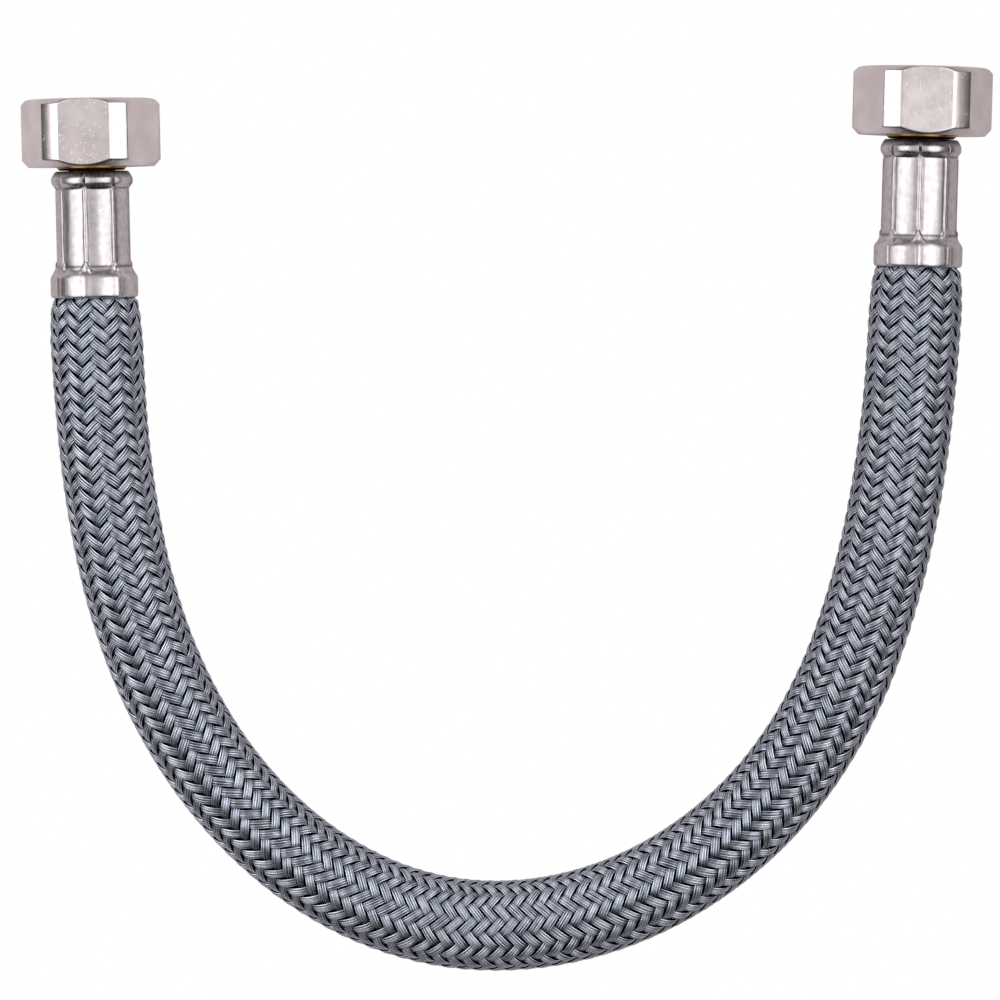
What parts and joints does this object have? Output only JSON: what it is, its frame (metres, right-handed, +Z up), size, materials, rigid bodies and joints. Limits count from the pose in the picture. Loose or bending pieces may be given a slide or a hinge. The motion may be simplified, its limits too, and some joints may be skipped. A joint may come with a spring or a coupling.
{
  "type": "flexible tap connector",
  "caption": "Braided flexible tap connector: a rubber-lined stainless wire hose lying in a U, with a crimped ferrule and a swivel hexagon nut with a rubber washer on each end",
  "frame": {"origin": "centre of the bounding box in plan, at the height of the surface it lies on", "axes": "+Z up from that surface, +Y the way both open nut ends point, +X from the left fitting to the right one"},
  "size_m": [0.2236, 0.2104, 0.03],
  "materials": {
    "nickel": "satin nickel plate on brass",
    "brass": "machined",
    "stainless": "bright pressed stainless",
    "wire": "woven bright wire",
    "rubber": "matte",
    "liner": "matte"
  },
  "bodies": {
    "hose": {"tail_left": "brass", "tail_right": "brass", "ferrule_left": "stainless", "ferrule_right": "stainless", "braid": "wire", "inner_tube": "liner"},
    "swivel_left": {"nut_left": "nickel", "washer_left": "rubber"},
    "swivel_right": {"nut_right": "nickel", "washer_right": "rubber"}
  },
  "joints": [
    {"name": "nut_left_swivel", "type": "hinge", "parent": "hose", "child": "swivel_left", "pos_m": [-0.09557, 0.09019, 0.015], "axis": [-0.0169, 0.9999, 0], "continuous": true},
    {"name": "nut_right_swivel", "type": "hinge", "parent": "hose", "child": "swivel_right", "pos_m": [0.09571, 0.09734, 0.015], "axis": [0.0218, 0.9998, 0], "continuous": true}
  ]
}
